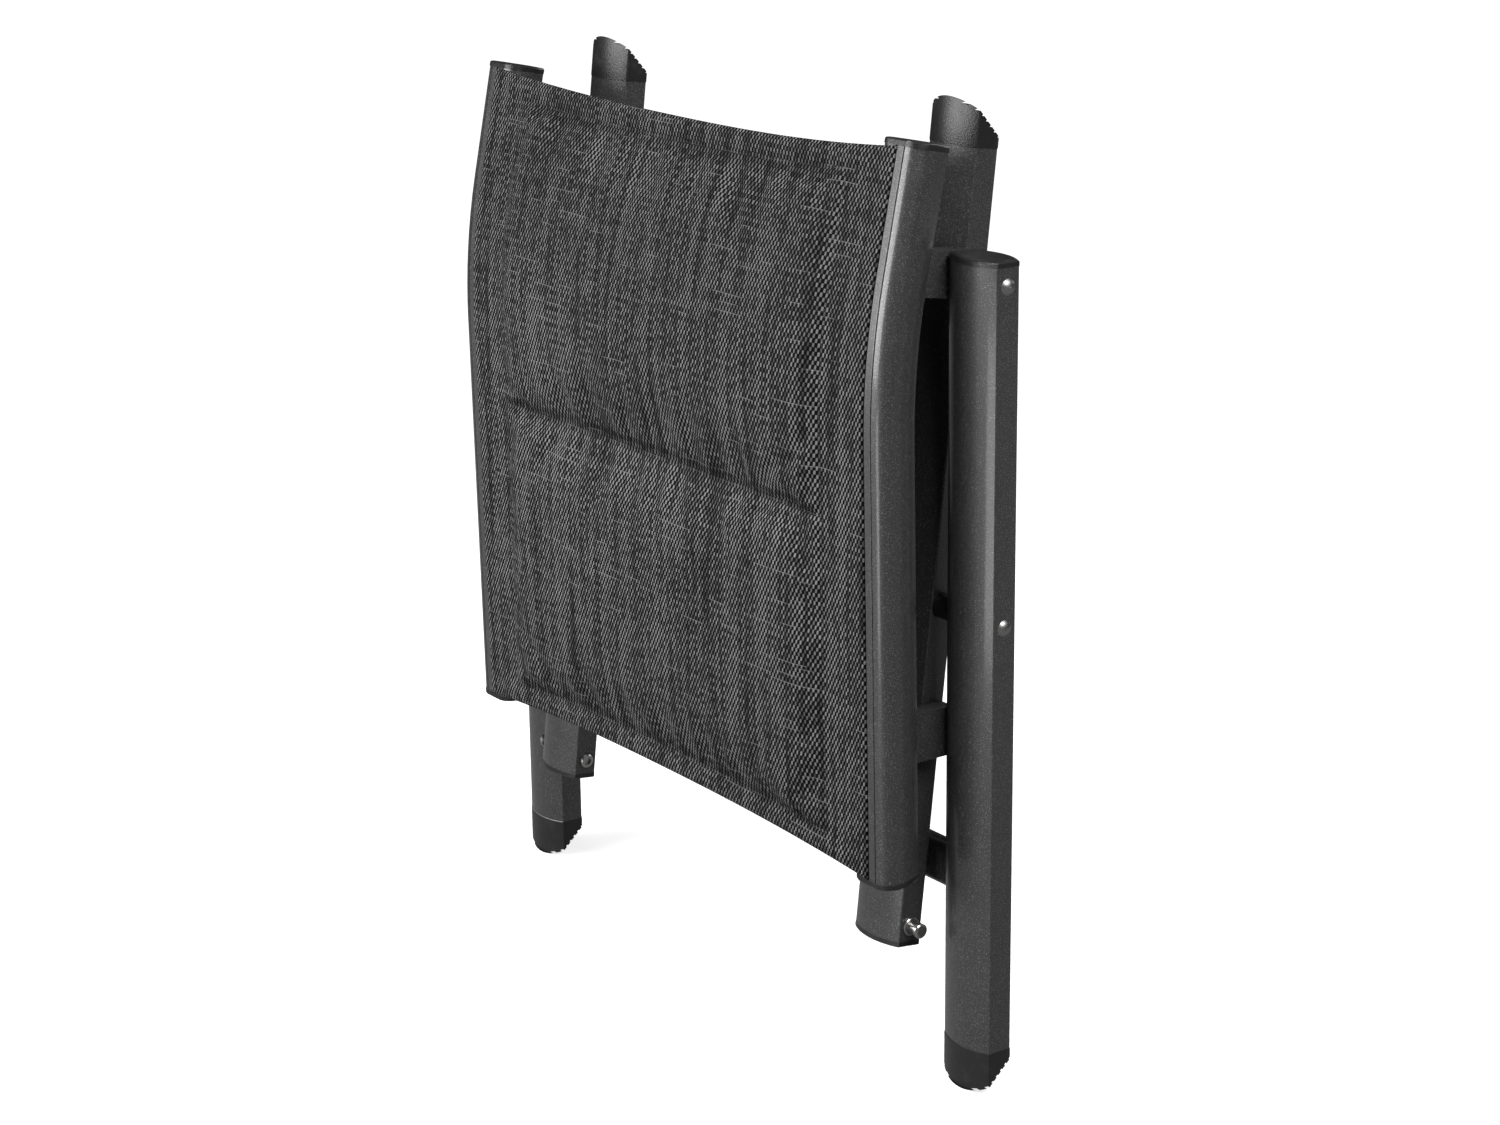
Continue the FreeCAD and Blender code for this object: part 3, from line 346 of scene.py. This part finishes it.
def on_run(x, run, lift):
    """Point in metres at x across, run along the slot line and lift behind it, all in mm."""
    up = Vector((0.0, -math.sin(RAIL_LEAN), math.cos(RAIL_LEAN)))
    back = Vector((0.0, math.cos(RAIL_LEAN), math.sin(RAIL_LEAN)))
    along = min(run, LOWER_RUN)
    turned = min(max(run - LOWER_RUN, 0.0), BEND_RADIUS * BEND_TURN)
    angle = turned / BEND_RADIUS
    beyond = max(run - LOWER_RUN - BEND_RADIUS * BEND_TURN, 0.0)
    way = up * math.cos(angle) + back * math.sin(angle)
    out = back * math.cos(angle) - up * math.sin(angle)
    point = RAIL_FOOT + up * along
    point = point + back * BEND_RADIUS * (1 - math.cos(angle)) + up * BEND_RADIUS * math.sin(angle)
    point = point + way * beyond + out * lift
    return Vector((x, point.y, point.z)) * MM


# ---------------------------------------------------------------- the padded sling

# Where the cloth rolls over each rail's lip and into the slot: front and back of the skin, (x, lift).
SLOT_ROLL = [
    ((199.0, -3.9), (199.0, -2.9)),
    ((203.5, -3.9), (203.5, -2.9)),
    ((208.0, -3.9), (208.0, -2.9)),
    ((211.5, -3.9), (211.5, -2.9)),
    ((214.1, -3.85), (213.5, -2.88)),
    ((215.4, -3.55), (214.3, -2.6)),
    ((216.05, -2.8), (214.75, -2.0)),
    ((216.2, -1.6), (214.9, -1.2)),
    ((216.2, 0.1), (214.95, 0.1)),
]


def hem_curve(x, top):
    """How far a hem edge curves in from the rail's end at x."""
    share = min(abs(x) / SLOT_X, 1.0)
    skew = 1.0 + (0.18 * x / SLOT_X if top else 0.0)
    return EDGE_CLEAR + HEM_HOLLOW * skew * (1 - share ** 2.4)


def run_at(x, row_share):
    """Run for a grid row, given as its share of the sling's length."""
    low = hem_curve(x, False)
    high = RUN_LENGTH - hem_curve(x, True)
    return low + (high - low) * row_share


def grid_lines(stops, step):
    """Evenly divided positions between consecutive stops, so that each stop is a grid line."""
    lines = [stops[0]]
    for start, end in zip(stops, stops[1:]):
        count = max(1, round((end - start) / step))
        lines += [start + (end - start) * (i + 1) / count for i in range(count)]
    return lines


def sling_columns():
    """Front and back (x, lift) of every grid column, from the left slot to the right one."""
    inner = grid_lines([-PLAIN_X, -STITCH_X, 0.0, STITCH_X, PLAIN_X], CELL)
    field = [((x, SKIN_FRONT), (x, SKIN_BACK)) for x in inner]
    left = [((-f[0], f[1]), (-b[0], b[1])) for f, b in reversed(SLOT_ROLL)]
    return left + field + SLOT_ROLL


def sling_rows():
    """Shares of all grid rows, and of the ends, the hems' stitch lines and the cross seam alone."""
    seam = CROSS_SEAM - EDGE_CLEAR - HEM_HOLLOW
    stops = [0.0, HEM_DEPTH, seam, ROW_SPAN - HEM_DEPTH, ROW_SPAN]
    rows = [stop / ROW_SPAN for stop in grid_lines(stops, CELL)]
    return rows, [stop / ROW_SPAN for stop in stops]


COLUMNS = sling_columns()
ROWS, ROW_STOPS = sling_rows()


def chamber(x, share):
    """0 on every stitch line and outside the pads, towards 1 in the middle of a chamber."""
    side = STITCH_X - abs(x)
    if side <= 0 or share <= ROW_STOPS[1] or share >= ROW_STOPS[3]:
        return 0.0
    from_seam = abs(share - ROW_STOPS[2]) * ROW_SPAN
    from_hem = min(share - ROW_STOPS[1], ROW_STOPS[3] - share) * ROW_SPAN
    nearest = min(side / SIDE_EASE, from_seam / SEAM_EASE, from_hem / HEM_EASE)
    return math.sqrt(1 - (1 - min(nearest, 1.0)) ** 2)


def hem_roll(x, share):
    """0 to 1 over the double-turned hems at both ends."""
    from_end = min(share, 1 - share) * ROW_SPAN
    if from_end >= HEM_DEPTH or abs(x) >= HEM_X:
        return 0.0
    return math.sqrt(math.sin(math.pi * from_end / HEM_DEPTH))


def valley(x, share):
    """1 on the cross seam and the hem stitch lines, 0 away from them and beyond the pads."""
    reach = min(max((STITCH_X - abs(x)) / SIDE_EASE, 0.0), 1.0)
    gaps = [abs(share - stop) * ROW_SPAN / SEAM_EASE for stop in ROW_STOPS[1:4]]
    return reach * max(1.0 - min(gaps), 0.0)


def painted_shade_at_seams(x, run):
    """Painted shade beside the three cross-wise stitch lines, where the cloth is pinched in."""
    inside = min(max((STITCH_X - abs(x)) / SEAM_SHADE_FADE, 0.0), 1.0)
    sway = SEAM_SHADE_SWAY * noise.noise(Vector((x * 0.06, 5.0, 2.0)))
    deep = 0.0
    for stop, (offset, half) in zip(ROW_STOPS[1:4], SEAM_SHADE_BANDS):
        gap = run - run_at(x, stop) - offset - sway
        deep = max(deep, math.exp(-(gap / half) ** 2))
    return inside * deep * (0.85 + 0.3 * noise.noise(Vector((x * 0.11, 1.0, 7.0))))


def across_cloth(index):
    """Distance in mm from the sling's middle, measured along the front cloth, for a grid column."""
    step = 1 if COLUMNS[index][0][0] > 0 else -1
    inner = index
    length = 0.0
    while abs(COLUMNS[inner][0][0]) > ROLL_X:
        outside = COLUMNS[inner][0]
        inner -= step
        inside = COLUMNS[inner][0]
        length += math.hypot(outside[0] - inside[0], outside[1] - inside[1])
    return COLUMNS[inner][0][0] + step * length


def sling_mesh():
    """Closed grid of the whole sling. Returns the mesh and, per vertex, whether it is sewn down.

    Each vertex keeps its place on the flat cloth, which the weave follows, and its painted seam shade.
    """
    points = []
    held = []
    cloth = []
    seam_shade_values = []
    wide = len(COLUMNS)
    tall = len(ROWS)
    last = wide - 1
    for side in (0, 1):
        for share in ROWS:
            for index, column in enumerate(COLUMNS):
                x, lift = column[side]
                swell = chamber(x, share)
                out = 1 if side else -1
                crown = CROWN * BACK_CROWN if side else CROWN
                lift += out * (crown * swell + HEM_RISE[side] * hem_roll(x, share))
                lift += SEAM_PULL[side] * valley(x, share)
                lift += RIPPLE * swell * noise.noise(Vector((x * 0.045, share * 18.0, 3.0 + side * 9.0)))
                run = run_at(x, share)
                points.append(on_run(x, run, lift))
                cloth += [across_cloth(index) * MM, 0.01 * side, run * MM]
                # painted shade beside the seams, kept per vertex
                seam_shade_values.append(painted_shade_at_seams(x, run))
                held.append(swell < SEWN_BELOW)
    faces = []
    block = wide * tall
    for row in range(tall - 1):
        for column in range(last):
            a = row * wide + column
            faces.append((a, a + 1, a + wide + 1, a + wide))
            b = a + block
            faces.append((b, b + wide, b + wide + 1, b + 1))
    for column in range(last):
        faces.append((column, column + block, column + block + 1, column + 1))
        top = (tall - 1) * wide + column
        faces.append((top, top + 1, top + 1 + block, top + block))
    for row in range(tall - 1):
        a = row * wide
        faces.append((a, a + wide, a + wide + block, a + block))
        b = a + last
        faces.append((b, b + block, b + wide + block, b + wide))
    mesh = bpy.data.meshes.new("padded_sling")
    mesh.from_pydata(points, [], faces)
    mesh.attributes.new("cloth", "FLOAT_VECTOR", "POINT").data.foreach_set("vector", cloth)
    mesh.attributes.new("crease", "FLOAT", "POINT").data.foreach_set("value", seam_shade_values)
    mesh.polygons.foreach_set("use_smooth", [True] * len(mesh.polygons))
    return mesh, held


def inflate(piece, held):
    """Blow up the chambers between their stitch lines, with each point's movement capped."""
    start = np.array([v.co for v in piece.data.vertices])
    sewn = piece.vertex_groups.new(name="sewn")
    sewn.add([i for i, fixed in enumerate(held) if fixed], 1.0, "REPLACE")
    cloth = piece.modifiers.new("cloth", "CLOTH")
    settings = cloth.settings
    settings.quality = 5
    settings.mass = 0.25
    settings.tension_stiffness = 22.0
    settings.compression_stiffness = 12.0
    settings.shear_stiffness = 5.0
    settings.bending_stiffness = 0.25
    settings.shrink_min = -0.022
    settings.vertex_group_mass = "sewn"
    settings.use_pressure = True
    settings.uniform_pressure_force = 4.0
    settings.effector_weights.gravity = 0.0
    cloth.collision_settings.use_collision = False
    scene = bpy.context.scene
    for step in range(1, INFLATE_FRAMES + 1):
        scene.frame_set(step)
    evaluated = piece.evaluated_get(bpy.context.evaluated_depsgraph_get())
    shaped = evaluated.to_mesh()
    moved = np.array([v.co for v in shaped.vertices])
    evaluated.to_mesh_clear()
    piece.modifiers.remove(cloth)
    piece.vertex_groups.remove(sewn)
    scene.frame_set(1)
    shift = moved - start
    size = np.linalg.norm(shift, axis=1)
    limit = SWELL_CAP * MM
    softened = limit * np.tanh(size / limit)
    shift = shift * (softened / np.maximum(size, 1e-9))[:, None]
    piece.data.vertices.foreach_set("co", (start + shift).ravel())
    piece.data.update()


def make_piece(name, mesh, material):
    piece = bpy.data.objects.new(name, mesh)
    bpy.context.scene.collection.objects.link(piece)
    mesh.materials.append(material)
    return piece


def padded_sling():
    mesh, held = sling_mesh()
    piece = make_piece("padded_sling", mesh, woven_textile())
    inflate(piece, held)
    finer = piece.modifiers.new("finer", "SUBSURF")
    finer.levels = 1
    finer.render_levels = 1
    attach(piece, "seat_frame")
    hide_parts("sling_cover", "foam_pad_lower", "foam_pad_upper")
    return piece


# ---------------------------------------------------------------- stitching

STITCH_LONG = 2.5
STITCH_PITCH = 3.4
STITCH_THICK = 0.55
STITCH_SIDES = 6
STITCH_SEARCH = 30.0            # a stitch is dropped onto the cloth from this far out


def seam_lines():
    """Stitch lines as (x, row share) functions of a position in mm, with their start and end."""
    lines = []
    for share in ROW_STOPS[1:4]:
        lines.append((-STITCH_X, STITCH_X, lambda t, share=share: (t, run_at(t, share))))
    for x in (-STITCH_X, STITCH_X):
        low = run_at(x, ROW_STOPS[1])
        high = run_at(x, ROW_STOPS[3])
        lines.append((low, high, lambda t, x=x: (x, t)))
    return lines


def one_stitch(points, faces, start, end, out):
    """A short sunk thread from start to end: a spindle of a few rings."""
    way = (end - start).normalized()
    side = way.cross(out).normalized()
    base = len(points)
    for share, thick, rise in ((0.0, 0.35, -0.25), (0.25, 0.9, 0.0), (0.75, 0.9, 0.0), (1.0, 0.35, -0.25)):
        centre = start.lerp(end, share) + out * rise * MM
        for corner in range(STITCH_SIDES):
            angle = 2 * math.pi * corner / STITCH_SIDES
            ring = side * math.cos(angle) + out * math.sin(angle)
            points.append(centre + ring * STITCH_THICK / 2 * thick * MM)
    for level in range(3):
        for corner in range(STITCH_SIDES):
            a = base + level * STITCH_SIDES + corner
            b = base + level * STITCH_SIDES + (corner + 1) % STITCH_SIDES
            faces.append((a, b, b + STITCH_SIDES, a + STITCH_SIDES))
    faces.append(tuple(base + i for i in reversed(range(STITCH_SIDES))))
    faces.append(tuple(base + 3 * STITCH_SIDES + i for i in range(STITCH_SIDES)))


def on_surface(surface, place, away):
    """The cloth's outer face at a place, as x and run in mm, and the way out of the cloth there."""
    base = on_run(*place, 0.0)
    out = (on_run(*place, away) - base).normalized()
    return surface.ray_cast(base + out * STITCH_SEARCH * MM, -out)[0], out


def stitching(name, sling, away):
    """Rows of stitches on the sling's front (away -1) or back (away 1) face."""
    surface = BVHTree.FromObject(sling, bpy.context.evaluated_depsgraph_get())
    points = []
    faces = []
    for low, high, line in seam_lines():
        count = int((high - low) / STITCH_PITCH)
        for index in range(count):
            t = low + (index + 0.5) * (high - low) / count
            start, out = on_surface(surface, line(t - STITCH_LONG / 2), away)
            end = on_surface(surface, line(t + STITCH_LONG / 2), away)[0]
            one_stitch(points, faces, start, end, out)
    mesh = bpy.data.meshes.new(name)
    mesh.from_pydata(points, [], faces)
    mesh.polygons.foreach_set("use_smooth", [True] * len(mesh.polygons))
    piece = make_piece(name, mesh, THREAD)
    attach(piece, "seat_frame")


# ---------------------------------------------------------------- bare cut ends of the leg tubes

RIM_TALL = 0.5
RIM_PROUD = 1.004               # scale of the rim's outside over the tube
RIM_INSIDE = 0.985
FOLD_TILT = math.radians(6.6)   # lean of the inner legs when folded


def bare_aluminium():
    """Sawn aluminium without its coat."""
    g = Graph("bare_aluminium")
    saw = g.noise(g.stretch((1.0, 1.0, 4.0)), 500.0, 2.0, 0.6)
    g.set(Base_Color=g.mix(saw, grey(0.55), grey(0.72)))
    g.set(Metallic=0.85)
    g.set(Roughness=0.38)
    g.bump((saw, 0.02, 0.4))
    return g.material


def outer_loop(shape):
    """The longest closed loop of the edges in a bmesh, as points in order."""
    best = []
    unused = set(shape.verts)
    while unused:
        vert = unused.pop()
        ring = [vert]
        while True:
            after = [e.other_vert(ring[-1]) for e in ring[-1].link_edges]
            after = [v for v in after if v in unused]
            if not after:
                break
            unused.remove(after[0])
            ring.append(after[0])
        if not best or ring_size(ring) > ring_size(best):
            best = ring
    return [v.co.copy() for v in best]


def ring_size(ring):
    return sum((a.co - b.co).length for a, b in zip(ring, ring[1:] + ring[:1]))


def tube_rim(node, body, axis, upper):
    """A thin bare rim on one cut end of a leg tube."""
    shape = bmesh.new()
    shape.from_mesh(node.data)
    shape.transform(node.matrix_world)
    reach = [v.co.dot(axis) for v in shape.verts]
    sign = 1.0 if upper else -1.0
    level = (max(reach) if upper else min(reach)) - sign * RIM_TALL * MM
    parts = shape.verts[:] + shape.edges[:] + shape.faces[:]
    bmesh.ops.bisect_plane(shape, geom=parts, plane_co=axis * level, plane_no=axis,
                           clear_inner=True, clear_outer=True)
    loop = outer_loop(shape)
    shape.free()
    centre = sum(loop, Vector()) / len(loop)
    points = []
    for scale, rise in ((RIM_PROUD, 0.0), (RIM_PROUD, 1.0), (RIM_INSIDE, 1.0), (RIM_INSIDE, 0.0)):
        lift = axis * sign * rise * RIM_TALL * MM
        points += [centre + (p - centre) * scale + lift for p in loop]
    count = len(loop)
    faces = []
    for level in range(4):
        for i in range(count):
            a = level * count + i
            b = level * count + (i + 1) % count
            up = ((level + 1) % 4) * count
            faces.append((a, b, up + (i + 1) % count, up + i))
    mesh = bpy.data.meshes.new("rim")
    mesh.from_pydata(points, [], faces)
    mesh.update()
    closed = bmesh.new()
    closed.from_mesh(mesh)
    bmesh.ops.recalc_face_normals(closed, faces=closed.faces)
    closed.to_mesh(mesh)
    closed.free()
    end = "top" if upper else "foot"
    piece = make_piece("%s_%s_rim" % (node.name.split(".")[0], end), mesh, ALUMINIUM)
    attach(piece, body)


def tube_rims():
    tilted = Vector((0.0, math.sin(FOLD_TILT), math.cos(FOLD_TILT)))
    for hand in ("left", "right"):
        for upper in (True, False):
            tube_rim(nodes["outer_leg_" + hand], "outer_leg_frame", Vector((0.0, 0.0, 1.0)), upper)
            tube_rim(nodes["inner_leg_" + hand], "inner_leg_frame", tilted, upper)


# ---------------------------------------------------------------- studio

def camera():
    """The photograph's viewpoint."""
    azimuth = math.radians(55.14)
    elevation = math.radians(16.29)
    roll = math.radians(-0.70)
    place = Vector((1.59845, -1.09548, 0.83889))
    forward = Vector((
        -math.sin(azimuth) * math.cos(elevation),
        math.cos(azimuth) * math.cos(elevation),
        -math.sin(elevation),
    ))
    right = Vector((math.cos(azimuth), math.sin(azimuth), 0.0))
    up = right.cross(forward)
    turned_right = right * math.cos(roll) + up * math.sin(roll)
    turned_up = up * math.cos(roll) - right * math.sin(roll)
    data = bpy.data.cameras.new("camera")
    data.lens = 75.90
    data.sensor_width = 36.0
    body = bpy.data.objects.new("camera", data)
    body.matrix_world = Matrix((
        (turned_right.x, turned_up.x, -forward.x, place.x),
        (turned_right.y, turned_up.y, -forward.y, place.y),
        (turned_right.z, turned_up.z, -forward.z, place.z),
        (0.0, 0.0, 0.0, 1.0),
    ))
    bpy.context.scene.collection.objects.link(body)
    bpy.context.scene.camera = body


# Name, bearing from -Y towards +X, height in degrees, distance, width, height and power.
SOFTBOXES = [
    ("key", -22.0, 10.0, 1.5, 1.35, 0.65, 24.0),
    ("overhead", -12.0, 62.0, 1.25, 0.9, 0.35, 13.0),
    ("side", 84.0, 42.0, 1.6, 0.65, 0.65, 19.0),
    ("back_side", 115.0, 42.0, 1.6, 0.6, 0.6, 5.0),
    ("rear_fill", 195.0, 24.0, 1.8, 1.0, 0.8, 9.0),
    ("edge_strip", 12.0, -13.0, 1.1, 0.30, 0.30, 1.5),
]
AIM = Vector((0.1, 0.0, 0.33))
WORLD = 0.02                    # strength of the even light from all round
STAGE_REACH = 11.0              # half width of the floor
BACKDROP = 1.5                  # backdrop's radius over that
BOUNCE_SIZE = 4.0
BOUNCE_WATTS = 13.0             # light thrown back up by the floor


def area_light(name, wide, tall, watts):
    data = bpy.data.lights.new(name, "AREA")
    data.shape = "RECTANGLE"
    data.size = wide
    data.size_y = tall
    data.energy = watts
    lamp = bpy.data.objects.new(name, data)
    lamp.visible_camera = False
    bpy.context.scene.collection.objects.link(lamp)
    return lamp


def softbox(name, bearing, height, distance, wide, tall, watts):
    lamp = area_light(name, wide, tall, watts)
    turn = math.radians(bearing)
    rise = math.radians(height)
    way = Vector((math.sin(turn) * math.cos(rise), -math.cos(turn) * math.cos(rise), math.sin(rise)))
    lamp.location = AIM + way * distance
    lamp.rotation_euler = (-way).to_track_quat("-Z", "Y").to_euler()


def stage_piece(name, mesh, material):
    mesh.materials.append(material)
    piece = bpy.data.objects.new(name, mesh)
    bpy.context.scene.collection.objects.link(piece)
    return piece


def unlit_by(piece):
    """The piece shows, and takes shadows, but throws no light of its own on the stool."""
    piece.visible_diffuse = False
    piece.visible_glossy = False
    piece.visible_shadow = False


def studio():
    world = bpy.data.worlds.new("studio")
    world.use_nodes = True
    world.node_tree.nodes["Background"].inputs["Color"].default_value = (1.0, 1.0, 1.0, 1.0)
    world.node_tree.nodes["Background"].inputs["Strength"].default_value = WORLD
    bpy.context.scene.world = world
    bpy.context.scene.view_settings.view_transform = "Standard"
    reach = STAGE_REACH
    mesh = bpy.data.meshes.new("floor")
    corners = [(-reach, -reach, 0.0), (reach, -reach, 0.0), (reach, reach, 0.0), (-reach, reach, 0.0)]
    mesh.from_pydata(corners, [], [(0, 1, 2, 3)])
    unlit_by(stage_piece("floor", mesh, floor_paper()))
    shell = bmesh.new()
    bmesh.ops.create_icosphere(shell, subdivisions=4, radius=reach * BACKDROP)
    mesh = bpy.data.meshes.new("backdrop")
    shell.to_mesh(mesh)
    shell.free()
    unlit_by(stage_piece("backdrop", mesh, backdrop_white()))
    for name, bearing, height, distance, wide, tall, watts in SOFTBOXES:
        softbox(name, bearing, height, distance, wide, tall, watts)
    bounce = area_light("floor_bounce", BOUNCE_SIZE, BOUNCE_SIZE, BOUNCE_WATTS)
    bounce.location = (0.0, 0.0, 0.002)
    bounce.rotation_euler = (math.pi, 0.0, 0.0)


# ---------------------------------------------------------------- assembly

dress_nodes()
sling = padded_sling()
THREAD = sewing_thread()
ALUMINIUM = bare_aluminium()
tube_rims()
stitching("stitches_front", sling, -1.0)
stitching("stitches_back", sling, 1.0)
studio()
camera()
